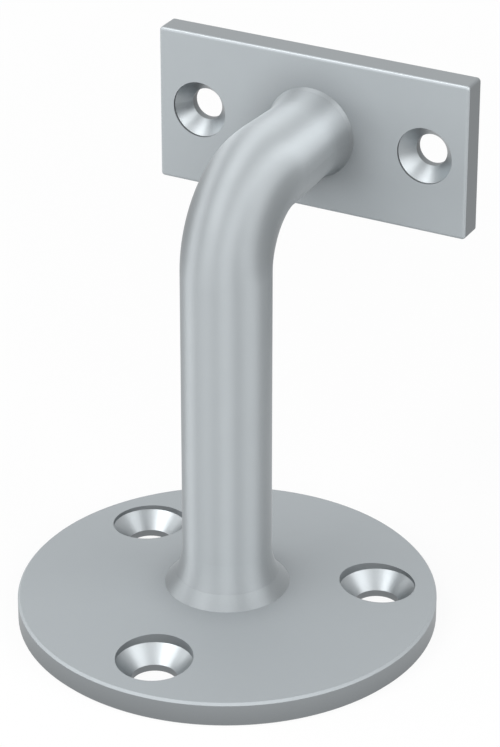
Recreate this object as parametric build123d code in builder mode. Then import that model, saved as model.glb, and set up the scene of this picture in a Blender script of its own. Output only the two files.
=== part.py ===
"""Handrail bracket: a round wall flange, a bent round arm and a rectangular plate for the rail.

Millimetres. The origin is the centre of the flange's wall side. +Z points away from the wall along
the arm's first stretch, +Y is the side of the rail plate, and X runs along the rail.
"""
from build123d import *
import os

# Wall flange: its face rises from the rim in a shallow cone to a flat seat for the arm
flange_diameter = 66.0
flange_rim_thickness = 4.0
flange_face_rise = 1.7
flange_rim_chamfer = 0.35

# Screw holes in the flange
flange_screws = 3
flange_screw_inset = 9.3
flange_screw_hole = 7.0
flange_screw_head = 12.0
flange_head_recess = 1.1
flange_sink_angle = 90.0

# Rail plate
plate_length = 53.2
plate_height = 25.4
plate_thickness = 4.4
plate_corner_radius = 0.6
plate_front_rounding = 0.5
plate_back_chamfer = 0.25

# Screw holes in the rail plate
plate_screw_inset = 7.1
plate_screw_hole = 5.2
plate_screw_head = 9.2
plate_head_recess = 0.45
plate_sink_angle = 82.0
plate_hole_chamfer = 0.4

# Arm, with its centreline from the flange's seat up and over to the plate's face
bar_diameter = 14.0
bend_radius = 12.0
rail_height = 71.6
rail_reach = 27.8

# Foot on the flange: the bar flares to a neck above a conical collar
foot_length = 8.0
foot_flare_height = 4.6
foot_flare_width = 1.05
foot_collar_height = 2.05
foot_collar_width = 1.75

# Head on the rail plate: soon after the bend the bar narrows to a waist, then flares to a low collar
head_run_in = 1.8
head_narrowing = 0.4
head_flare_height = 3.4
head_flare_width = 0.5
head_collar_height = 0.6
head_collar_width = 0.35

# Hidden seats: a spigot on each end of the arm in a blind socket of the plate
spigot_shoulder = 2.0
spigot_play = 0.05
socket_floor = 1.5

# Worked out from the sizes above
bar_radius = bar_diameter / 2
head_length = rail_reach - bend_radius - head_run_in
spigot_radius = bar_radius - spigot_shoulder
socket_radius = spigot_radius + spigot_play
flange_radius = flange_diameter / 2
flange_seat_radius = bar_radius + foot_flare_width + foot_collar_width
flange_thickness = flange_rim_thickness + flange_face_rise
flange_slope = flange_face_rise / (flange_radius - flange_seat_radius)
flange_face_at_screws = flange_rim_thickness + flange_slope * flange_screw_inset
flange_screw_circle = flange_radius - flange_screw_inset
plate_screw_spacing = plate_length - 2 * plate_screw_inset
flange_socket_depth = flange_thickness - socket_floor
plate_socket_depth = plate_thickness - socket_floor

# Seats of the arm: Z points out of the plate's face, into the bar
flange_face = Plane(origin=(0, 0, flange_thickness), x_dir=(1, 0, 0), z_dir=(0, 0, 1))
plate_face = Plane(origin=(0, rail_reach, rail_height), x_dir=(1, 0, 0), z_dir=(0, -1, 0))


def turned_end(
    seat, spigot, length, narrowing, flare_height, flare_width, collar_height, collar_width
):
    """Turn one end of the arm about the seat's normal, from its spigot up to the plain bar."""
    waist = bar_radius - narrowing
    neck = waist + flare_width
    collar = neck + collar_width
    flare_top = collar_height + flare_height
    half_section = Plane(origin=seat.origin, x_dir=seat.x_dir, z_dir=-seat.y_dir)
    with BuildSketch(half_section) as section:
        with BuildLine():
            Polyline(
                (waist, flare_top),
                (bar_radius, length),
                (0, length),
                (0, -spigot),
                (spigot_radius, -spigot),
                (spigot_radius, 0),
                (collar, 0),
                (neck, collar_height),
            )
            TangentArc((waist, flare_top), (neck, collar_height), tangent=(0, -1))
        make_face()
    revolve(section.sketch, axis=Axis(seat.origin, seat.z_dir))


# Wall flange
with BuildPart() as base_flange:
    with BuildSketch(Plane.XZ):
        with BuildLine():
            Polyline(
                (0, 0),
                (flange_radius, 0),
                (flange_radius, flange_rim_thickness),
                (flange_seat_radius, flange_thickness),
                (0, flange_thickness),
                close=True,
            )
        make_face()
    revolve(axis=Axis.Z)
    rims = base_flange.edges().group_by(SortBy.LENGTH)[-1]
    chamfer(rims, length=flange_rim_chamfer)
    with Locations(Plane.XY.offset(flange_face_at_screws - flange_head_recess)):
        with PolarLocations(flange_screw_circle, flange_screws, start_angle=-90):
            CounterSinkHole(
                radius=flange_screw_hole / 2,
                counter_sink_radius=flange_screw_head / 2,
                counter_sink_angle=flange_sink_angle,
            )
    with Locations(flange_face):
        Hole(radius=socket_radius, depth=flange_socket_depth)
base_flange.part.label = "base_flange"

# Rail plate
with BuildPart() as rail_plate:
    with BuildSketch(plate_face):
        RectangleRounded(plate_length, plate_height, plate_corner_radius)
    extrude(amount=-plate_thickness)
    fillet(rail_plate.edges().group_by(Axis.Y)[0], radius=plate_front_rounding)
    chamfer(rail_plate.edges().group_by(Axis.Y)[-1], length=plate_back_chamfer)
    with Locations(plate_face.offset(-plate_head_recess)):
        with GridLocations(plate_screw_spacing, 0, 2, 1):
            CounterSinkHole(
                radius=plate_screw_hole / 2,
                counter_sink_radius=plate_screw_head / 2,
                counter_sink_angle=plate_sink_angle,
            )
    back_rims = rail_plate.faces().sort_by(Axis.Y)[-1].inner_wires().edges()
    chamfer(back_rims, length=plate_hole_chamfer)
    with Locations(plate_face):
        Hole(radius=socket_radius, depth=plate_socket_depth)
rail_plate.part.label = "rail_plate"

# Arm: one bent bar with both of its ends turned
with BuildPart() as arm:
    with BuildLine(Plane.YZ) as centreline:
        FilletPolyline(
            (0, flange_thickness + foot_length),
            (0, rail_height),
            (rail_reach - head_length, rail_height),
            radius=bend_radius,
        )
    with BuildSketch(flange_face.offset(foot_length)):
        Circle(bar_radius)
    sweep(path=centreline.wires()[0])
    turned_end(
        flange_face,
        spigot=flange_socket_depth - spigot_play,
        length=foot_length,
        narrowing=0,
        flare_height=foot_flare_height,
        flare_width=foot_flare_width,
        collar_height=foot_collar_height,
        collar_width=foot_collar_width,
    )
    turned_end(
        plate_face,
        spigot=plate_socket_depth - spigot_play,
        length=head_length,
        narrowing=head_narrowing,
        flare_height=head_flare_height,
        flare_width=head_flare_width,
        collar_height=head_collar_height,
        collar_width=head_collar_width,
    )
arm.part.label = "arm"

os.makedirs("parts", exist_ok=True)
export_step(base_flange.part, "parts/base_flange.step")
export_step(rail_plate.part, "parts/rail_plate.step")
export_step(arm.part, "parts/arm.step")
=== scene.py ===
"""Handrail bracket in satin metal on a plain white studio floor."""
import math

import bpy
from mathutils import Matrix, Vector

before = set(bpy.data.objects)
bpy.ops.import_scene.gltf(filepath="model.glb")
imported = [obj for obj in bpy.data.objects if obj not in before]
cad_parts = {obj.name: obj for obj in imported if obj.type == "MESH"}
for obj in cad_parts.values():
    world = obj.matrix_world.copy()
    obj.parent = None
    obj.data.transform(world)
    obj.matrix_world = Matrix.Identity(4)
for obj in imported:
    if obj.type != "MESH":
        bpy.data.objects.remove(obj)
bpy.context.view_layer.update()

# Camera: the photograph's viewing angle and framing, lengths in metres, picture sizes in pixels
PHOTO_WIDTH = 500
PHOTO_HEIGHT = 747
SENSOR_MM = 36.0
FOCAL_PX = 3313.0
AZIMUTH_DEG = 27.642
ELEVATION_DEG = 27.54
DISTANCE = 0.5245
ORIGIN_PX = (227.35, 610.75)
CLIP_START = 0.01

# Centreline of the arm, which rises at Y = 0 and ends level at RAIL_HEIGHT
RAIL_HEIGHT = 0.0716
BEND_RADIUS = 0.012
BEND_START_Z = RAIL_HEIGHT - BEND_RADIUS
BEND_END_Y = BEND_RADIUS

# Spots that slope like a countersink shine this near the frame's origin: on the flange that leaves
# out the rim's chamfer, and on the rail plate it takes in the slopes of the outline too
FLANGE_SINK_REACH = 0.0325
PLATE_SINK_REACH = 0.1

# Satin metal
METAL_COLOR = (0.380, 0.405, 0.420)
FACE_ROUGHNESS = 0.75
SIDE_ROUGHNESS = 0.5
SINK_ROUGHNESS = 0.38
ARM_ROUGHNESS = 0.62
ARM_ANISOTROPY = 0.88
ROUGHNESS_SPREAD = 0.05

# Share of METAL_COLOR on blasted faces and on cut sides of one metal, as painted light and shade
# Painted shade darkens the flange's face and the cut sides, and painted light lightens the rail
# plate's face
FLANGE_FACE_PAINTED_SHADE = 0.93
FLANGE_SIDE_PAINTED_SHADE = 0.76
PLATE_FACE_PAINTED_LIGHT = 1.04
PLATE_END_PAINTED_SHADE = 0.51
PLATE_EDGE_PAINTED_SHADE = 0.73

# Painted shade: corners darken where surfaces within CORNER_REACH hide the sky, most at CORNER_DARKEST
# of it left
PAINTED_CORNER_SHADE = 0.72
CORNER_REACH = 0.007
CORNER_DARKEST = 0.5
CORNER_SAMPLES = 8

# How squarely a spot looks out of its plate's face, from 0 to 1: cut sides are below SIDE_UNTIL
SIDE_UNTIL = 0.3
SINK_SQUARENESS = 0.68
SINK_SPREAD = 0.06

# Finish texture: how many to the metre, depth in metres
CLOUD_SCALE = 160.0
GRAIN_SCALE = 3500.0
GRAIN_DEPTH = 0.000004
RING_SCALE = 5000.0
NOISE_MEAN = 0.5

# Studio: FLOOR_WHITE_NEAR of the floor is plain white up to FLOOR_NEAR, and all past FLOOR_FAR
WHITE = (1.0, 1.0, 1.0, 1.0)
FLOOR_SIZE = 6.0
FLOOR_COLOR = (0.75, 0.75, 0.75)
FLOOR_WHITE_NEAR = 0.9
FLOOR_NEAR = 0.1
FLOOR_FAR = 0.4
WORLD_STRENGTH = 0.3
LIGHT_DISTANCE = 1.0
LIGHT_AIM = Vector((0.0, 0.0, 0.04))


def make_camera():
    """Camera that sees the frame's origin at ORIGIN_PX of the photograph, with no shift."""
    turn = math.radians(AZIMUTH_DEG)
    tilt = math.radians(ELEVATION_DEG)
    right = Vector((math.cos(turn), math.sin(turn), 0.0))
    level = Vector((-math.sin(turn), math.cos(turn), 0.0))
    forward = math.cos(tilt) * level - Vector((0.0, 0.0, math.sin(tilt)))
    up = right.cross(forward)
    across = (ORIGIN_PX[0] - PHOTO_WIDTH / 2) / FOCAL_PX
    down = (ORIGIN_PX[1] - PHOTO_HEIGHT / 2) / FOCAL_PX
    place = -DISTANCE * (forward + across * right - down * up)
    data = bpy.data.cameras.new("camera")
    data.sensor_width = SENSOR_MM
    data.lens = FOCAL_PX / PHOTO_HEIGHT * SENSOR_MM
    data.clip_start = CLIP_START
    camera = bpy.data.objects.new("camera", data)
    columns = Matrix((right, up, -forward)).transposed().to_4x4()
    camera.matrix_world = Matrix.Translation(place) @ columns
    bpy.context.scene.collection.objects.link(camera)
    bpy.context.scene.camera = camera


class Graph:
    """The shader nodes of a material or world, with short calls for adding and wiring them."""

    def __init__(self, owner, shader="Principled BSDF"):
        owner.use_nodes = True
        self.owner = owner
        self.tree = owner.node_tree
        self.shader = self.tree.nodes[shader]

    def add(self, kind, **settings):
        node = self.tree.nodes.new(kind)
        for key, value in settings.items():
            setattr(node, key, value)
        return node

    def feed(self, socket, value):
        """Put a value or another node's output into a socket."""
        if isinstance(value, bpy.types.NodeSocket):
            self.tree.links.new(value, socket)
        else:
            socket.default_value = value

    def math(self, operation, *values):
        node = self.add("ShaderNodeMath", operation=operation)
        for socket, value in zip(node.inputs, values):
            self.feed(socket, value)
        return node.outputs[0]

    def split(self, vector):
        node = self.add("ShaderNodeSeparateXYZ")
        self.feed(node.inputs[0], vector)
        return node.outputs

    def length(self, vector):
        node = self.add("ShaderNodeVectorMath", operation="LENGTH")
        self.feed(node.inputs[0], vector)
        return node.outputs["Value"]

    def noise(self, place, scale, **settings):
        node = self.add("ShaderNodeTexNoise", **settings)
        self.feed(node.inputs["W" if node.noise_dimensions == "1D" else "Vector"], place)
        self.feed(node.inputs["Scale"], scale)
        return node.outputs[0]

    def ramp(self, value, start, end, low, high):
        """Run from low to high while the value runs from start to end."""
        node = self.add("ShaderNodeMapRange")
        for socket, amount in zip(node.inputs, (value, start, end, low, high)):
            self.feed(socket, amount)
        return node.outputs[0]

    def seen(self):
        """1 for rays from the camera, through glass or off a glossy surface, and 0 for others."""
        rays = self.add("ShaderNodeLightPath").outputs
        direct = self.math("MAXIMUM", rays["Is Camera Ray"], rays["Is Transmission Ray"])
        return self.math("MAXIMUM", direct, rays["Is Glossy Ray"])


def painted_corner_shade(graph):
    """Share of the colour left by painted shade where other surfaces are close, 1 in the open."""
    sky = graph.add("ShaderNodeAmbientOcclusion", samples=CORNER_SAMPLES)
    graph.feed(sky.inputs["Distance"], CORNER_REACH)
    return graph.ramp(sky.outputs["AO"], CORNER_DARKEST, 1.0, PAINTED_CORNER_SHADE, 1.0)


def finish_metal(graph, place, roughness, shade, grain):
    """Make the graph's shader satin metal: cloudy roughness, fine grain, a given painted share of the
    colour, painted shade in corners.
    """
    # Painted light and shade in the colour: the given share, times painted shade in corners
    color = graph.add("ShaderNodeVectorMath", operation="SCALE")
    graph.feed(color.inputs[0], METAL_COLOR)
    graph.feed(color.inputs["Scale"], graph.math("MULTIPLY", shade, painted_corner_shade(graph)))
    cloud = graph.math("SUBTRACT", graph.noise(place, CLOUD_SCALE), NOISE_MEAN)
    roughness = graph.math("MULTIPLY_ADD", cloud, ROUGHNESS_SPREAD, roughness)
    bump = graph.add("ShaderNodeBump")
    graph.feed(bump.inputs["Strength"], 1.0)
    graph.feed(bump.inputs["Distance"], GRAIN_DEPTH)
    graph.feed(bump.inputs["Height"], grain)
    graph.feed(graph.shader.inputs["Base Color"], color.outputs[0])
    graph.feed(graph.shader.inputs["Metallic"], 1.0)
    graph.feed(graph.shader.inputs["Roughness"], roughness)
    graph.feed(graph.shader.inputs["Normal"], bump.outputs[0])
    return graph.owner


def make_plate_metal(name, face_axis, face_shade, side_shades, sink_reach):
    """Blasted plate with painted shares of the colour for its face and its cut sides, and shiny
    countersinks.

    face_axis is square to the plate's face, and side_shades gives a painted shade share for each of
    the other two.
    Spots that slope like a countersink shine if they lie within sink_reach of the frame's origin.
    """
    graph = Graph(bpy.data.materials.new(name))
    texture = graph.add("ShaderNodeTexCoord")
    place = texture.outputs["Object"]
    normal = graph.split(texture.outputs["Normal"])
    squareness = graph.math("ABSOLUTE", normal[face_axis])
    on_side = graph.math("LESS_THAN", squareness, SIDE_UNTIL)
    # Painted shade: cut sides take a darker share of the colour than the face, whose share is painted
    # too
    painted_darkening = 0.0
    for axis, share in side_shades.items():
        turned = graph.math("MULTIPLY", normal[axis], normal[axis])
        painted_darkening = graph.math("MULTIPLY_ADD", turned, face_shade - share, painted_darkening)
    shade = graph.math("SUBTRACT", face_shade, graph.math("MULTIPLY", painted_darkening, on_side))
    near = graph.math("LESS_THAN", graph.length(place), sink_reach)
    sloping = graph.math("COMPARE", squareness, SINK_SQUARENESS, SINK_SPREAD)
    shiny = graph.math("MULTIPLY", near, sloping)
    roughness = graph.math("MULTIPLY_ADD", shiny, SINK_ROUGHNESS - FACE_ROUGHNESS, FACE_ROUGHNESS)
    roughness = graph.math("MULTIPLY_ADD", on_side, SIDE_ROUGHNESS - FACE_ROUGHNESS, roughness)
    return finish_metal(graph, place, roughness, shade, graph.noise(place, GRAIN_SCALE))


def make_arm_metal():
    """Bar brushed round its girth, so highlights stretch along its centreline."""
    graph = Graph(bpy.data.materials.new("arm_metal"))
    place = graph.add("ShaderNodeTexCoord").outputs["Object"]
    spot = graph.split(place)
    past_start = graph.math("MAXIMUM", graph.math("SUBTRACT", spot["Z"], BEND_START_Z), 0.0)
    before_end = graph.math("MAXIMUM", graph.math("SUBTRACT", BEND_END_Y, spot["Y"]), 0.0)
    along = graph.add("ShaderNodeCombineXYZ")
    graph.feed(along.inputs["Y"], past_start)
    graph.feed(along.inputs["Z"], before_end)
    graph.feed(graph.shader.inputs["Tangent"], along.outputs[0])
    graph.feed(graph.shader.inputs["Anisotropic"], ARM_ANISOTROPY)
    up = graph.math("SUBTRACT", spot["Z"], past_start)
    out = graph.math("MAXIMUM", spot["Y"], BEND_END_Y)
    turned = graph.math("ARCTAN2", past_start, before_end)
    length = graph.math("MULTIPLY_ADD", turned, BEND_RADIUS, graph.math("ADD", up, out))
    rings = graph.noise(length, RING_SCALE, noise_dimensions="1D")
    return finish_metal(graph, place, ARM_ROUGHNESS, 1.0, rings)


def make_floor():
    """White floor: near the object a little of it is lit and takes the shadow, farther off none."""
    half = FLOOR_SIZE / 2
    corners = [(-half, -half, 0), (half, -half, 0), (half, half, 0), (-half, half, 0)]
    mesh = bpy.data.meshes.new("floor")
    mesh.from_pydata(corners, [], [(0, 1, 2, 3)])
    floor = bpy.data.objects.new("floor", mesh)
    bpy.context.scene.collection.objects.link(floor)
    graph = Graph(bpy.data.materials.new("floor"))
    graph.feed(graph.shader.inputs["Base Color"], (*FLOOR_COLOR, 1.0))
    graph.feed(graph.shader.inputs["Roughness"], 1.0)
    graph.feed(graph.shader.inputs["Specular IOR Level"], 0.0)
    distance = graph.length(graph.add("ShaderNodeTexCoord").outputs["Object"])
    white = graph.ramp(distance, FLOOR_NEAR, FLOOR_FAR, FLOOR_WHITE_NEAR, 1.0)
    mix = graph.add("ShaderNodeMixShader")
    graph.feed(mix.inputs[0], graph.math("MULTIPLY", graph.seen(), white))
    graph.feed(mix.inputs[1], graph.shader.outputs[0])
    graph.feed(mix.inputs[2], graph.add("ShaderNodeEmission").outputs[0])
    graph.feed(graph.tree.nodes["Material Output"].inputs["Surface"], mix.outputs[0])
    mesh.materials.append(graph.owner)


def make_softbox(name, azimuth, elevation, width, height, watts):
    """Soft rectangular lamp that faces the object: degrees, azimuth from +X to +Y, sizes in metres."""
    level = math.cos(math.radians(elevation))
    away = Vector((
        level * math.cos(math.radians(azimuth)),
        level * math.sin(math.radians(azimuth)),
        math.sin(math.radians(elevation)),
    ))
    lamp = bpy.data.lights.new(name, "AREA")
    lamp.shape = "RECTANGLE"
    lamp.size = width
    lamp.size_y = height
    lamp.energy = watts
    softbox = bpy.data.objects.new(name, lamp)
    softbox.location = LIGHT_AIM + LIGHT_DISTANCE * away
    softbox.rotation_euler = (-away).to_track_quat("-Z", "Y").to_euler()
    bpy.context.scene.collection.objects.link(softbox)


def make_world():
    """Even light from all round, plain white where it is seen or reflected."""
    graph = Graph(bpy.data.worlds.new("studio"), shader="Background")
    strength = graph.math("MULTIPLY_ADD", graph.seen(), 1.0 - WORLD_STRENGTH, WORLD_STRENGTH)
    graph.feed(graph.shader.inputs["Color"], WHITE)
    graph.feed(graph.shader.inputs["Strength"], strength)
    bpy.context.scene.world = graph.owner


make_camera()
# Painted shade shares for the cut sides of each plate
flange_painted_shades = {"X": FLANGE_SIDE_PAINTED_SHADE, "Y": FLANGE_SIDE_PAINTED_SHADE}
plate_painted_shades = {"X": PLATE_END_PAINTED_SHADE, "Z": PLATE_EDGE_PAINTED_SHADE}
# Face shares are painted: shade on the flange's face, light on the rail plate's face
materials = {
    "base_flange": make_plate_metal(
        "flange_metal", "Z", FLANGE_FACE_PAINTED_SHADE, flange_painted_shades, sink_reach=FLANGE_SINK_REACH
    ),
    "rail_plate": make_plate_metal(
        "plate_metal", "Y", PLATE_FACE_PAINTED_LIGHT, plate_painted_shades, sink_reach=PLATE_SINK_REACH
    ),
    "arm": make_arm_metal(),
}
for name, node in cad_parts.items():
    node.data.materials.clear()
    node.data.materials.append(materials[name])
make_floor()
make_world()
make_softbox("left_key", azimuth=-120, elevation=47, width=0.65, height=0.7, watts=6.4)
make_softbox("left_low", azimuth=-160, elevation=8, width=0.5, height=0.6, watts=4.2)
make_softbox("right_key", azimuth=-2, elevation=32, width=0.8, height=0.9, watts=5.8)
make_softbox("front_fill", azimuth=-62, elevation=28, width=0.6, height=0.5, watts=5.1)
make_softbox("back_fill", azimuth=100, elevation=45, width=1.1, height=1.2, watts=0.9)
bpy.context.scene.view_settings.view_transform = "Standard"
